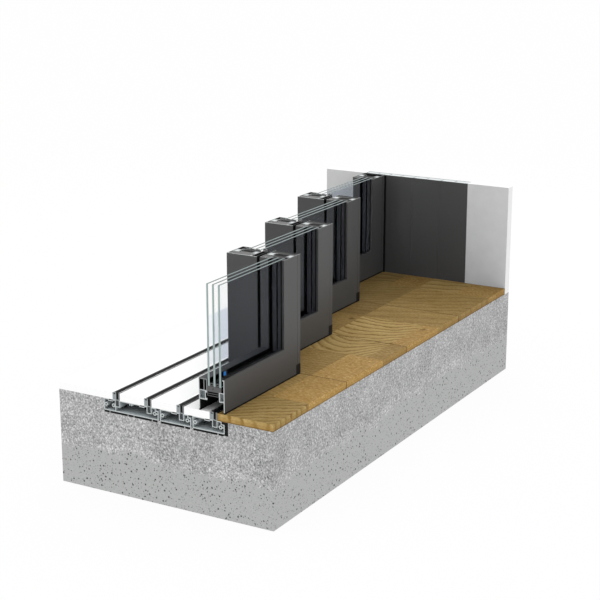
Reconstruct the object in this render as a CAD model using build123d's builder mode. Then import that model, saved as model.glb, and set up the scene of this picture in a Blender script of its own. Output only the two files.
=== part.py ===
"""Section display of a four-track sliding patio door on a concrete plinth.

+X points indoors, +Y runs along the tracks from the section face to the jamb, +Z is up.
The origin is the middle of the plinth's underside. All sizes are in millimetres.
"""

from build123d import *
import os

os.makedirs("parts", exist_ok=True)

# Plinth, floor and wall
plinth_length = 1585
plinth_width = 700
plinth_height = 278
section_height = 650
wall_thickness = 35
floor_thickness = 21
floor_joint = 1.2
fit = 0.3

# Tracks and sill
sash_count = 4
base_tracks = 2
track_pitch = 106
sill_setback = 155
sill_margin = 38.5
sill_height = 38
sill_wall = 2.5
sill_joint = 5
corner_step = 9
corner_drop = 7
pad_thickness = 4
pad_margin = 3
pad_gap = 2.5
pad_break = 18
pad_middle = 20
clip_width = 16
clip_depth = 20
clip_wall = 2
groove_width = 14
groove_depth = 3
port_radius = 5.5
port_bore = 2.8
port_drop = 16.5
port_setback = 12
boss_width = 9
boss_slot = 4
boss_height = 8
end_seal_gap = 2
end_seal_thickness = 9.5

# Running rail, measured from its track's middle line
rail_height = 23
rail_left = 7.5
rail_leg = 12
rail_strip = 7.5
rail_strip_drop = 1
rail_lip = 4.5
rail_wall = 2
rail_edge_radius = 1.5
stem_width = 7
stem_length = 15

# Sash profile: depth through the sash, reach from its outer edge towards the glass
sash_depth = 80
sash_zone = 382
sash_clearance = 5
frame_wall = 2.5
outer_half = 26
outer_reach = 86
inner_half = 17
inner_reach = 90
channel_reach = 27
chamber_reach = 54
chamber_half = 21.5
grip_height = 6
bead_web = 15
gasket_lip = 4
bar_start = 40
bar_wall = 2
bar_layers = 2
bridge_bore = 1.5
bridge_inset = 0.5

# Triple glazing
pane_count = 3
pane_thickness = 6
pane_gap = 12
pane_offset = 28.5
glass_reach = 68
spacer_start = 69
spacer_height = 8
spacer_wall = 2.5
outer_gasket_height = 10
inner_gasket_height = 12
inner_gasket_rise = 2.5

# Trim and hardware
cap_width = 16
cap_height = 27
cap_slot_height = 13
cap_slot_clearance = 6
edge_strip_depth = 3
edge_strip_recess = 3
edge_groove = 0.8
cover_thickness = 2.5
cover_clip = 2
cover_clip_reach = 12
flange_gap = 8
insert_clearance = 2
insert_length = 60
insert_wall = 3
roller_radius = 12
roller_width = 8
roller_inset = 55
carriage_length = 70
carriage_width = 20
carriage_height = 22
packer_width = 15
packer_height = 20
packer_foot = 2
packer_tip = 1
packer_setback = 12

# Jamb
jamb_wall = 2.5
jamb_cell = 48
jamb_seal_depth = 3
jamb_seal_inset = 6

# Places worked out from the sizes above
exterior_edge = -plinth_width / 2
interior_edge = plinth_width / 2
section_face = -plinth_length / 2
back_face = plinth_length / 2
wall_face = back_face - wall_thickness
floor_top = plinth_height + floor_thickness
rail_top = plinth_height + rail_height
sash_bottom = floor_top + sash_clearance
recess_floor = plinth_height - sill_height
profile_bottom = recess_floor + pad_thickness
sill_left = exterior_edge + sill_setback
base_width = 2 * sill_margin + (base_tracks - 1) * track_pitch
base_right = sill_left + base_width
base_middle = sill_left + base_width / 2
sill_right = base_right + (sash_count - base_tracks) * track_pitch
rail_right = rail_leg + rail_strip + rail_lip - rail_left
pane_step = pane_thickness + pane_gap
last_pane_face = pane_offset + pane_count * pane_step - pane_gap
inner_seat = sash_depth - frame_wall
flange_tip = track_pitch - flange_gap
port_height = plinth_height - port_drop
sash_numbers = range(1, sash_count + 1)
extension_numbers = range(1, sash_count - base_tracks + 1)


def track_x(number):
    """Middle line of a sash's track. Sash 1 runs on the innermost track."""
    return sill_left + sill_margin + track_pitch * (sash_count - number)


def outer_face(number):
    """Outdoor face of a sash."""
    return track_x(number) - sash_depth / 2


def far_edge(number):
    """Where a sash ends on the jamb's side."""
    return wall_face - sash_clearance - sash_zone * (sash_count - number)


def near_edge(number):
    """Where a sash starts. Sash 1 is cut by the section face. The near stile of any other
    sash stands beside the far stile of the sash before it."""
    if number == 1:
        return section_face
    return far_edge(number - 1) - inner_reach


def track_end(number):
    """Where a track and the infill beside it end: at the next floor field, or at the jamb."""
    if number == sash_count:
        return wall_face
    return far_edge(number)


def extension_right(number):
    """Indoor edge of the sill or jamb extension that carries a track."""
    return sill_right - track_pitch * (number - 1)


def save(piece, name):
    """Labels a finished piece and writes it as one file."""
    piece.label = name
    export_step(piece, f"parts/{name}.step")


def cell(left, bottom, right, top, mode=Mode.ADD):
    """A rectangle of the sketch in hand, given by its edges."""
    with Locations(((left + right) / 2, (bottom + top) / 2)):
        Rectangle(right - left, top - bottom, mode=mode)


def hollow_row(left, bottom, right, top, count, wall):
    """Cuts a row of equal hollow cells, with walls between and around them."""
    width = (right - left - wall) / count
    for index in range(count):
        start = left + wall + index * width
        cell(start, bottom + wall, start + width - wall, top - wall, Mode.SUBTRACT)


def block(low, high, mode=Mode.ADD):
    """A box of the part in hand, given by its lowest and highest corners."""
    size = [end - start for start, end in zip(low, high)]
    middle = [(start + end) / 2 for start, end in zip(low, high)]
    with Locations(tuple(middle)):
        Box(*size, mode=mode)


def along_track(x, y, z):
    """Plane of a section that grows along +Y when it is extruded by a negative amount."""
    return Plane(origin=(x, y, z), x_dir=(1, 0, 0), z_dir=(0, -1, 0))


# Concrete plinth, with the stepped recess that the sill lies in
with BuildPart() as concrete_slab:
    block((exterior_edge, section_face, 0), (interior_edge, back_face, plinth_height))
    block(
        (sill_left, section_face, recess_floor),
        (base_right, wall_face, plinth_height),
        Mode.SUBTRACT,
    )
    for number in extension_numbers:
        block(
            (base_right, section_face, recess_floor),
            (extension_right(number), far_edge(number), plinth_height),
            Mode.SUBTRACT,
        )
    block(
        (sill_right, section_face, recess_floor),
        (sill_right + end_seal_gap + end_seal_thickness, far_edge(1), plinth_height),
        Mode.SUBTRACT,
    )
save(concrete_slab.part, "concrete_slab")

# White terrace slab outside and the white strips between the rails
with BuildPart() as terrace_slab:
    block(
        (exterior_edge, section_face, plinth_height),
        (track_x(sash_count) - rail_left - fit, wall_face, floor_top),
    )
save(terrace_slab.part, "terrace_slab")

with BuildPart() as threshold_infill:
    for number in sash_numbers[:-1]:
        block(
            (track_x(number + 1) + rail_right + fit, section_face, plinth_height),
            (track_x(number) - rail_left - fit, track_end(number), floor_top),
        )
save(threshold_infill.part, "threshold_infill")

# Oak floor, one field beside each track, stepped along the sashes
with BuildPart() as oak_floor:
    for number in sash_numbers:
        start = section_face
        if number > 1:
            start = track_end(number - 1) + floor_joint
        block(
            (track_x(number) + rail_right + fit, start, plinth_height),
            (interior_edge, track_end(number), floor_top),
        )
save(oak_floor.part, "oak_floor")

# White wall on both sides of the jamb
with BuildPart() as wall_returns:
    block((exterior_edge, wall_face, plinth_height), (sill_left, back_face, section_height))
    block((sill_right, wall_face, plinth_height), (interior_edge, back_face, section_height))
save(wall_returns.part, "wall_returns")


def screw_port(x):
    """A round port for a corner screw, grown from the profile's walls."""
    with Locations((x, port_height)):
        Circle(port_radius)
        Circle(port_bore, mode=Mode.SUBTRACT)


def top_step(left, right, depth):
    """A step or groove in the sill profile's top, with the wall carried on below it."""
    floor = plinth_height - depth
    cell(left - sill_wall, floor - sill_wall, right, plinth_height)
    cell(left, floor, right, plinth_height, Mode.SUBTRACT)


def sill_section(left, right, numbers):
    """Hollow sill profile: under each rail a clip channel, with a groove for a strip beside it,
    a stepped indoor corner and a screw port at each end."""
    cell(left, profile_bottom, right, plinth_height)
    hollow_row(left, profile_bottom, right, plinth_height, 1, sill_wall)
    top_step(right - corner_step, right, corner_drop)
    for number in numbers:
        clip = track_x(number)
        top_step(clip - rail_left - groove_width, clip - rail_left, groove_depth)
        floor = plinth_height - clip_depth
        cell(clip, floor, clip + clip_width, plinth_height)
        cell(
            clip + clip_wall,
            floor + clip_wall,
            clip + clip_width - clip_wall,
            plinth_height,
            Mode.SUBTRACT,
        )
    screw_port(left + sill_wall + port_radius - fit)
    right_port = right - port_setback
    cell(right_port, port_height - sill_wall / 2, right - fit, port_height + sill_wall / 2)
    screw_port(right_port)


# Two-track sill base, as long as the plinth up to the jamb
with BuildPart() as sill_base:
    with BuildSketch(along_track(0, section_face, 0)):
        sill_section(sill_left, base_right, sash_numbers[-base_tracks:])
        web = track_x(sash_count)
        cell(web, profile_bottom, web + clip_wall, plinth_height - clip_depth)
        screw_port(web - port_radius + fit)
        boss_low = plinth_height - boss_height
        cell(base_middle - boss_width / 2, boss_low, base_middle + boss_width / 2, plinth_height)
        cell(
            base_middle - boss_slot / 2,
            boss_low,
            base_middle + boss_slot / 2,
            plinth_height - sill_wall,
            Mode.SUBTRACT,
        )
    extrude(amount=section_face - wall_face)
save(sill_base.part, "sill_base")

# One-track extensions, each as long as its sash zone needs
with BuildPart() as sill_extensions:
    for number in extension_numbers:
        right = extension_right(number)
        with BuildSketch(along_track(0, section_face, 0)):
            sill_section(right - track_pitch + sill_joint, right, [number])
        extrude(amount=section_face - far_edge(number))
save(sill_extensions.part, "sill_extensions")


def pad_row(left, right, breaks, far):
    """Packing strips under one sill profile, parted at the breaks."""
    starts = [left + pad_margin] + [place + pad_gap / 2 for place in breaks]
    ends = [place - pad_gap / 2 for place in breaks] + [right - pad_margin]
    for start, end in zip(starts, ends):
        block((start, section_face, recess_floor), (end, far, profile_bottom))


# Black packing strips under the sill profiles
with BuildPart() as sill_pads:
    base_breaks = (
        track_x(sash_count) - pad_break,
        base_middle - pad_middle / 2,
        base_middle + pad_middle / 2,
        track_x(sash_count - base_tracks + 1) + pad_break,
    )
    pad_row(sill_left, base_right, base_breaks, wall_face)
    for number in extension_numbers:
        right = extension_right(number)
        left = right - track_pitch + sill_joint
        pad_row(left, right, [track_x(number) + pad_break], far_edge(number))
save(sill_pads.part, "sill_pads")

# Black seal bar at the indoor end of the sill, with a lip on the last extension
with BuildPart() as sill_end_seal:
    bar_left = sill_right + end_seal_gap
    block(
        (bar_left, section_face, recess_floor),
        (bar_left + end_seal_thickness, far_edge(1), plinth_height),
    )
    block(
        (sill_right - corner_step, section_face, plinth_height - corner_drop),
        (bar_left, far_edge(1), plinth_height),
    )
save(sill_end_seal.part, "sill_end_seal")

# Running rails: a hollow leg that the rollers run on, a groove and a thin lip
with BuildPart() as running_rails:
    for number in sash_numbers:
        with BuildSketch(along_track(track_x(number), section_face, plinth_height)) as section:
            leg_right = rail_leg - rail_left
            cell(-rail_left, 0, leg_right, rail_height)
            cell(rail_right - rail_lip, 0, rail_right, rail_height)
            fillet(section.vertices().group_by(Axis.Y)[-1], rail_edge_radius)
            hollow_row(-rail_left, 0, leg_right, rail_height, 1, rail_wall)
            cell(leg_right, 0, rail_right - rail_lip, rail_wall)
            stem_left = (clip_width - stem_width) / 2
            cell(stem_left, -stem_length, stem_left + stem_width, rail_wall)
        extrude(amount=section_face - track_end(number))
save(running_rails.part, "running_rails")

# Black strip in each rail's groove, and one in the sill's groove beside it
with BuildPart() as rail_strips:
    for number in sash_numbers:
        left = track_x(number) - rail_left + rail_leg
        block(
            (left, section_face, plinth_height + rail_wall),
            (left + rail_strip, track_end(number), rail_top - rail_strip_drop),
        )
        right = track_x(number) - rail_left
        block(
            (right - groove_width, section_face, plinth_height - groove_depth),
            (right, track_end(number), plinth_height),
        )
save(rail_strips.part, "rail_strips")


def jamb_section(left, right):
    """Hollow jamb profile with equal cells."""
    cell(left, wall_face, right, back_face)
    count = round((right - left) / jamb_cell)
    hollow_row(left, wall_face, right, back_face, count, jamb_wall)


# Jamb base with a groove for the seal that the last sash closes against
seal_left = outer_face(sash_count) + jamb_seal_inset
seal_right = outer_face(sash_count) + sash_depth
with BuildPart() as jamb_base:
    with BuildSketch(Plane.XY.offset(plinth_height)):
        jamb_section(sill_left, base_right)
        groove = wall_face + jamb_seal_depth
        cell(seal_left - jamb_wall, wall_face, seal_right + jamb_wall, groove + jamb_wall)
        cell(seal_left, wall_face, seal_right, groove, Mode.SUBTRACT)
    extrude(amount=section_height - plinth_height)
save(jamb_base.part, "jamb_base")

with BuildPart() as jamb_extensions:
    for number in extension_numbers:
        right = extension_right(number)
        with BuildSketch(Plane.XY.offset(plinth_height)):
            jamb_section(right - track_pitch + fit, right)
        extrude(amount=section_height - plinth_height)
save(jamb_extensions.part, "jamb_extensions")

with BuildPart() as jamb_seal:
    block(
        (seal_left, wall_face, plinth_height + floor_thickness),
        (seal_right, wall_face + jamb_seal_depth, section_height),
    )
save(jamb_seal.part, "jamb_seal")


def outer_shell(start):
    """Outdoor half of the sash profile: a leaf, a chamber with grips for the insulating bar,
    and a two-cell glazing bead."""
    cell(0, start, frame_wall, outer_reach)
    cell(0, channel_reach, outer_half, outer_reach)
    hollow_row(0, channel_reach, chamber_half, chamber_reach, 1, frame_wall)
    grip_low = channel_reach + grip_height
    cell(chamber_half, grip_low, outer_half, chamber_reach - grip_height, Mode.SUBTRACT)
    bead = chamber_reach - frame_wall
    hollow_row(0, bead, bead_web + frame_wall, outer_reach, 1, frame_wall)
    hollow_row(bead_web, bead, outer_half, outer_reach, 1, frame_wall)


def inner_shell(start):
    """Indoor half of the sash profile: a tall leaf with a gasket lip, and a chamber."""
    half = sash_depth - inner_half
    cell(inner_seat, start, sash_depth, inner_reach)
    cell(inner_seat - gasket_lip, inner_reach - frame_wall, sash_depth, inner_reach)
    cell(half, channel_reach, sash_depth, chamber_reach)
    hollow_row(half, channel_reach, sash_depth, chamber_reach, 1, frame_wall)


def insulating_bar():
    """Bar with flat hollow layers between the two halves, and the bridge that the panes stand on."""
    half = sash_depth - inner_half
    top = glass_reach - fit
    cell(outer_half, bar_start, half, chamber_reach)
    cell(outer_half + bridge_inset, chamber_reach - bar_wall, half, top)
    cell(half - bar_wall, chamber_reach + fit, last_pane_face, top)
    layer_height = (chamber_reach - bar_start - bar_wall) / bar_layers
    for layer in range(bar_layers):
        low = bar_start + bar_wall + layer * layer_height
        high = low + layer_height - bar_wall
        cell(outer_half + bar_wall, low, half - bar_wall, high, Mode.SUBTRACT)
    with Locations(((outer_half + half) / 2, (chamber_reach + top) / 2)):
        Circle(bridge_bore, mode=Mode.SUBTRACT)


def rail_plane(number):
    """Section plane of a sash's bottom rail, at its near end."""
    return along_track(outer_face(number), near_edge(number), sash_bottom)


def far_stile_plane(number):
    """Section plane of a far stile: reach runs back from the sash's far edge."""
    corner = (outer_face(number), far_edge(number), sash_bottom)
    return Plane(origin=corner, x_dir=(1, 0, 0), z_dir=(0, 0, -1))


def near_stile_plane(number):
    """Section plane of a near stile: reach runs on from the sash's near edge."""
    corner = (outer_face(number), near_edge(number), sash_bottom)
    return Plane(origin=corner, x_dir=(1, 0, 0), z_dir=(0, 0, 1))


def far_mitre(number, gap=0):
    """45 degree plane of the far lower corner. Its normal points to the stile."""
    return Plane(origin=(0, far_edge(number) + gap, sash_bottom), z_dir=(0, 1, 1))


def near_mitre(number, gap=0):
    """45 degree plane of the near lower corner. Its normal points to the stile."""
    return Plane(origin=(0, near_edge(number) - gap, sash_bottom), z_dir=(0, -1, 1))


def has_cap(number):
    """The last sash closes against the jamb and has no corner cap."""
    return number < sash_count


def cut_corner(number):
    """Leaves room for the corner cap at the far lower corner."""
    if not has_cap(number):
        return
    left = outer_face(number)
    far = far_edge(number)
    block(
        (left, far - cap_width, sash_bottom),
        (left + sash_depth, far, sash_bottom + cap_height),
        Mode.SUBTRACT,
    )


def add_rail(number, draw):
    """Bottom rail member of a sash, mitred where a stile stands on it."""
    with BuildPart() as member:
        with BuildSketch(rail_plane(number)):
            draw()
        extrude(amount=near_edge(number) - far_edge(number))
        split(bisect_by=far_mitre(number), keep=Keep.BOTTOM)
        if number > 1:
            split(bisect_by=near_mitre(number), keep=Keep.BOTTOM)
    return member.part


def add_stile(number, draw, far, gap=0):
    """Stile member of a sash, mitred at its foot."""
    height = section_height - sash_bottom
    plane = far_stile_plane(number) if far else near_stile_plane(number)
    mitre = far_mitre(number, gap) if far else near_mitre(number, gap)
    with BuildPart() as member:
        with BuildSketch(plane):
            draw()
        extrude(amount=-height if far else height)
        split(bisect_by=mitre, keep=Keep.TOP)
    return member.part


def frame_around(number, left, right, start, end):
    """A strip along the bottom and the stiles of a sash's glass, fused to one piece."""
    face = outer_face(number)
    near = near_edge(number)
    far = far_edge(number) - start
    low = sash_bottom + start
    if number > 1:
        near += start
        block(
            (face + left, near, low),
            (face + right, near + end - start, section_height),
        )
    block((face + left, near, low), (face + right, far, sash_bottom + end))
    block(
        (face + left, far - end + start, low),
        (face + right, far, section_height),
    )


def both_shells(start=0):
    """Both aluminium halves of the sash profile."""
    outer_shell(start)
    inner_shell(start)


def covered_shells():
    """Both halves, cut back for the interlock cover on their outer edge."""
    both_shells(cover_thickness)


for number in sash_numbers:
    sash = f"sash_{number}"
    face = outer_face(number)
    near = near_edge(number)
    far = far_edge(number)
    glass_low = sash_bottom + glass_reach

    # Bottom rail, two aluminium halves
    with BuildPart() as bottom_rail:
        add(add_rail(number, both_shells))
        cut_corner(number)
        if number > 1:
            block(
                (face, near, sash_bottom),
                (face + sash_depth, near + cover_thickness, sash_bottom + inner_reach),
                Mode.SUBTRACT,
            )
    save(bottom_rail.part, f"{sash}_bottom_rail")

    # Stiles, two aluminium halves each, with a fine groove up the far one in line with the cap
    with BuildPart() as stiles:
        add(add_stile(number, both_shells, far=True))
        cut_corner(number)
        groove_near = far - cap_width
        block(
            (face + sash_depth - edge_groove, groove_near, sash_bottom),
            (face + sash_depth, groove_near + edge_groove, section_height),
            Mode.SUBTRACT,
        )
        if number > 1:
            add(add_stile(number, covered_shells, far=False))
    save(stiles.part, f"{sash}_stiles")

    # Insulating bars between the halves
    with BuildPart() as insulating_bars:
        add(add_rail(number, insulating_bar))
        add(add_stile(number, insulating_bar, far=True, gap=fit))
        if number > 1:
            add(add_stile(number, insulating_bar, far=False, gap=fit))
    save(insulating_bars.part, f"{sash}_insulating_bars")

    # Three panes
    with BuildPart() as glass:
        glass_near = near + glass_reach if number > 1 else near
        for index in range(pane_count):
            pane = face + pane_offset + index * pane_step
            block(
                (pane, glass_near, glass_low),
                (pane + pane_thickness, far - glass_reach, section_height),
            )
    save(glass.part, f"{sash}_glass")

    # Spacers between the panes, hollow at the section, and the gaskets outside and inside
    with BuildPart() as glazing_seals:
        for index in range(pane_count - 1):
            left = pane_offset + pane_thickness + index * pane_step
            spacer_end = spacer_start + spacer_height
            frame_around(number, left, left + pane_gap, spacer_start, spacer_end)
            if number == 1:
                block(
                    (face + left + spacer_wall, near, sash_bottom + spacer_start + spacer_wall),
                    (
                        face + left + pane_gap - spacer_wall,
                        far - spacer_end,
                        sash_bottom + spacer_end - spacer_wall,
                    ),
                    Mode.SUBTRACT,
                )
        frame_around(number, outer_half, pane_offset, outer_reach - outer_gasket_height, outer_reach)
        gasket_end = inner_reach + inner_gasket_rise
        gasket_right = inner_seat - gasket_lip
        frame_around(number, last_pane_face, gasket_right, gasket_end - inner_gasket_height, gasket_end)
    save(glazing_seals.part, f"{sash}_glazing_seals")

    # Black cap at the far lower corner, slotted over the rail, and the strip in the far edge
    with BuildPart() as end_trim:
        strip_low = sash_bottom
        if has_cap(number):
            strip_low = sash_bottom + cap_height + fit
            block((face, far - cap_width, sash_bottom), (face + sash_depth, far, sash_bottom + cap_height))
            middle = track_x(number)
            block(
                (middle - rail_left - cap_slot_clearance, far - cap_width, sash_bottom),
                (middle + rail_right + cap_slot_clearance, far, sash_bottom + cap_slot_height),
                Mode.SUBTRACT,
            )
        strip_far = far - edge_strip_recess
        block(
            (face + frame_wall, strip_far - edge_strip_depth, strip_low),
            (face + inner_seat, strip_far, section_height),
        )
    save(end_trim.part, f"{sash}_end_trim")

    # Roller carriages under the insulating bar, with their wheels on the rail
    with BuildPart() as rollers:
        wheel_x = track_x(number) - rail_left + rail_leg / 2
        wheel_z = rail_top + fit + roller_radius
        carriage_top = sash_bottom + bar_start
        inset = inner_reach + roller_inset
        for y in (near + inset, far - inset):
            block(
                (wheel_x - carriage_width / 2, y - carriage_length / 2, carriage_top - carriage_height),
                (wheel_x + carriage_width / 2, y + carriage_length / 2, carriage_top),
            )
            with Locations(Location((wheel_x, y, wheel_z), (0, 90, 0))):
                Cylinder(roller_radius, roller_width)
    save(rollers.part, f"{sash}_rollers")

    if number > 1:
        # Cover over the near edge, with a flange that closes the gap to the sash before it
        with BuildPart() as interlock_cover:
            block((face, near, sash_bottom), (face + flange_tip, near + cover_thickness, section_height))
            for left in (frame_wall + fit, inner_seat - fit - cover_clip):
                block(
                    (face + left, near + cover_thickness, sash_bottom + channel_reach),
                    (face + left + cover_clip, near + cover_clip_reach, section_height),
                )
        save(interlock_cover.part, f"{sash}_interlock_cover")

        # Black hollow insert behind the flange
        with BuildPart() as interlock_insert:
            insert_left = face + sash_depth + fit
            insert_right = face + flange_tip - insert_clearance
            insert_near = near + cover_thickness
            with BuildSketch(Plane.XY.offset(sash_bottom)):
                cell(insert_left, insert_near, insert_right, insert_near + insert_length)
                hollow_row(
                    insert_left, insert_near, insert_right, insert_near + insert_length, 1, insert_wall
                )
            extrude(amount=section_height - sash_bottom)
        save(interlock_insert.part, f"{sash}_interlock_insert")

# Blue packer that wedges the inner pane of sash 1 at the section
with BuildPart() as glazing_packer:
    foot = (
        outer_face(1) + last_pane_face,
        section_face + packer_setback,
        sash_bottom + inner_reach + inner_gasket_rise,
    )
    with BuildSketch(along_track(*foot)):
        with BuildLine():
            Polyline((0, 0), (packer_foot, 0), (packer_tip, packer_height), (0, packer_height), close=True)
        make_face()
    extrude(amount=-packer_width)
save(glazing_packer.part, "sash_1_glazing_packer")
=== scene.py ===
"""Looks of the sliding patio door section display: finishes, floor staves, seals, light and camera.

Everything is in metres in the part's own frame: +X points indoors, +Y runs along the tracks to the jamb.
"""

import bpy
import bmesh
import math
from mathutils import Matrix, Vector


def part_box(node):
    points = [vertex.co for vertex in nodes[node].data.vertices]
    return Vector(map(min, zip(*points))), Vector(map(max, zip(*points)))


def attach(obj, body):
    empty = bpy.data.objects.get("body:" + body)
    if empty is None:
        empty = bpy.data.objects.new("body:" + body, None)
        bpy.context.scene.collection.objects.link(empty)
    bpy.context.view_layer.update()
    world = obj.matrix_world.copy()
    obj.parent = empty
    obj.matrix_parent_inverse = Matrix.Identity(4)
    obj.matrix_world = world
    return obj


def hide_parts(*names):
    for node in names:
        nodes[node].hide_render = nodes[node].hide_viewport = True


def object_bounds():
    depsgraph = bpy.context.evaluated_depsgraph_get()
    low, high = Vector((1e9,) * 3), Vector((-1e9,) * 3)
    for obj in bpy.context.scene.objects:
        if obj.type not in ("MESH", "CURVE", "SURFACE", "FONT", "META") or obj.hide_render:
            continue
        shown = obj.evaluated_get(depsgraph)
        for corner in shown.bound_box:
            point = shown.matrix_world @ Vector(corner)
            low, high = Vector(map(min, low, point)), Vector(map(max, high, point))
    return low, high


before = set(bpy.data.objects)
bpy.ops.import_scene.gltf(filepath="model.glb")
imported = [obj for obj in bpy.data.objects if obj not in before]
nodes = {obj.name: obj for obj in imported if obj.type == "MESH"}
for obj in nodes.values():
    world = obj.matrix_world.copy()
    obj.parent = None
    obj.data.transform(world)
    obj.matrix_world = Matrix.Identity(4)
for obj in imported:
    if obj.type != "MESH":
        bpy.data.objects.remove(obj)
cad_low, cad_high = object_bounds()

# Places read from the frame
near_cut = cad_low.y
top_cut = cad_high.z
plinth_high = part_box("concrete_slab")[1]
floor_low, floor_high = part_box("oak_floor")
jamb_low, jamb_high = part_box("jamb_base")
sash_count = sum(name.endswith("_stiles") for name in nodes)
sash_numbers = range(1, sash_count + 1)

# Two places closer than this are one place
touch = 0.0002
weld = touch / 10

# Share of a face's normal on an axis when the face looks straight or mostly along it
straight = 0.9
mostly = 0.5

# Sash profile: its walls, and how far each zone reaches from the outer edge towards the glass
leaf_wall = 0.0025
half_wall = leaf_wall / 2
channel_reach = 0.027
bar_filler_reach = 0.042
chamber_reach = 0.054
outer_reach = 0.086
inner_reach = 0.090

# Sash profile: depth of the outer shell and of the chambers of both shells
outer_half = 0.026
chamber_half = 0.0215
inner_half = 0.017

# Running rails: leg, lip, walls, the hole at the leg's top, and the bare edges of the upper faces
rail_leg = 0.012
rail_lip = 0.0045
rail_wall = 0.002
leg_hole = 0.006
bright_head = 0.0048
bright_lip = 0.0009

# Sill pads: the widest gap between two that concrete fills, and the dark line of painted shade in the joint
# below them
pad_gap_most = 0.012
pad_shadow = 0.002

# Face of the corner pieces
cap_face_width = 0.0225
cap_face_depth = 0.0004

# Plates that close hollow cells: how far behind the section or below the top they lie, and their thickness
section_filler = 0.008
filler_drop = 0.001
filler_depth = 0.002

# Seals that close the running gaps
brush_width = 0.003
brush_clearance = 0.0005
gasket_width = 0.007
gasket_clearance = 0.0006
gasket_setback = 0.006
gasket_round = 0.0015
gasket_lip = 0.005
gasket_lip_depth = 0.003
edge_strip_end = 0.0065

# Concrete: rough upper layer over a smooth cast one, with a wavy and ragged line between them
cast_height = 0.116
cast_wave = 0.050
cast_ragged = 0.022
cast_blend = 0.010
fringe_start = 0.002
fringe_end = 0.040
fringe_lift = 0.030
cloud_depth = 0.026

# Pores of the cast layer: cells in a metre, size of a pore in its cell, and share of cells without one.
# A pore is darkest in its core, which is a share of its size.
pore_kinds = ((62, 0.21, 0.20), (100, 0.21, 0.30), (190, 0.23, 0.45))
pore_core = 0.6
pore_depth = 0.90

# Oak: each field is two strips wide, and each strip is cut to staves from the indoor edge.
# A strip is its share of the field, then its staves as (where it ends, shade, figure, spacing of
# the grain lines, their slant, their bend, and where along the stave the bend turns). A stave's shade is its
# own tone, with painted shade on the staves towards the jamb and next to the sashes.
oak_fields = (
    (
        (0.47, ((0.40, 0.80, 0.75, 0.027, 0.65, 0.0, 0.0),)),
        (0.53, ((0.115, 0.97, 0.08, 0.012, -0.4, 0.0, 0.0), (0.40, 0.86, 0.40, 0.020, -0.3, 0.0, 0.0))),
    ),
    (
        (0.59, ((0.115, 0.98, 0.06, 0.012, 0.2, 0.0, 0.0), (0.40, 0.74, 0.40, 0.018, 0.2, 0.0, 0.0))),
        (
            0.41,
            (
                (0.052, 0.73, 0.32, 0.020, 0.1, 20.0, 0.026),
                (0.265, 0.92, 0.80, 0.040, 0.0, 9.0, 0.09),
                (0.45, 0.88, 0.40, 0.020, 0.1, 0.0, 0.0),
            ),
        ),
    ),
    (
        (
            0.59,
            (
                (0.052, 0.88, 0.18, 0.020, 0.3, 0.0, 0.0),
                (0.265, 0.98, 0.95, 0.033, 0.05, 3.3, 0.075),
                (0.45, 0.70, 0.35, 0.020, 0.5, 0.0, 0.0),
            ),
        ),
        (0.41, ((0.265, 0.73, 0.42, 0.060, 0.35, 0.0, 0.0), (0.45, 0.54, 0.38, 0.030, 0.2, 0.0, 0.0))),
    ),
    (
        (0.63, ((0.265, 0.67, 0.45, 0.045, 0.5, 0.0, 0.0), (0.55, 0.53, 0.50, 0.030, 0.5, 0.0, 0.0))),
        (
            0.37,
            (
                (0.120, 0.74, 0.05, 0.012, 0.2, 0.0, 0.0),
                (0.265, 0.74, 0.65, 0.050, 0.2, 0.0, 0.0),
                (0.370, 0.57, 0.15, 0.012, 0.2, 0.0, 0.0),
                (0.55, 0.50, 0.60, 0.040, 0.2, 0.0, 0.0),
            ),
        ),
    ),
)

# Knots in the oak: place and radius
oak_knots = ((0.065, 0.172, 0.013), (0.318, 0.172, 0.012))

# Staves: how far they stay back from a field joint, drop of the joint's strip, eased edges, seams, wear
# layer, and the painted light that makes the sides paler that look to the section and indoors
field_inset = 0.0009
joint_drop = 0.0004
stave_edge = 0.0004
stave_seam = 0.0001
wear_layer = 0.0085
section_side_painted_light = 1.40
indoor_side_painted_light = 1.18

# Blue packer: where its black foot ends and its black tip and end start, as shares of its size
packer_foot = 0.30
packer_tip = 0.84
packer_end = 0.62

# Span that noise mostly fills
noise_span = (0.3, 0.7)

# Camera, solved from the photograph
camera_place = (2.2544, -3.96378, 1.66837)
camera_tilt = math.radians(90 - 15.62831)
camera_turn = math.radians(29.91159)
camera_lens = 91.30
camera_sensor = 36

# Lamps as place, target, size and power in watts
overhead_lamp = ((0.2, -1.1, 2.5), (0.1, -0.5, 0.3), 1.6, 8)
back_lamp = ((-1.0, 3.0, 2.6), (0.1, -0.3, 0.3), 1.8, 30)

# Surroundings: the world's level as a light, the share of the floor that glows by itself, the floor's
# width, and the white that is seen past all the faces of a sash's panes
world_level = 0.98
floor_glow = 0.96
floor_size = 60
pane_faces = 6.0
white = (1, 1, 1, 1)
lifted_white = (1.56, 1.45, 1.30, 1)

# Longest light paths, in bounces and in clear surfaces passed
path_bounces = 32
clear_passes = 64


def solid_boxes(name):
    """Lowest and highest corners of each separate solid of a node, in order along the tracks."""
    mesh = bmesh.new()
    mesh.from_mesh(nodes[name].data)
    bmesh.ops.remove_doubles(mesh, verts=mesh.verts, dist=weld)
    left = set(mesh.verts)
    boxes = []
    while left:
        group = []
        queue = [left.pop()]
        while queue:
            vert = queue.pop()
            group.append(vert.co)
            for edge in vert.link_edges:
                other = edge.other_vert(vert)
                if other in left:
                    left.remove(other)
                    queue.append(other)
        low = Vector(min(point[axis] for point in group) for axis in range(3))
        high = Vector(max(point[axis] for point in group) for axis in range(3))
        boxes.append((low, high))
    mesh.free()
    return sorted(boxes, key=lambda pair: pair[0].y)


def across_tracks(boxes):
    """The boxes in order from outdoors to indoors."""
    return sorted(boxes, key=lambda pair: pair[0].x)


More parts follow.
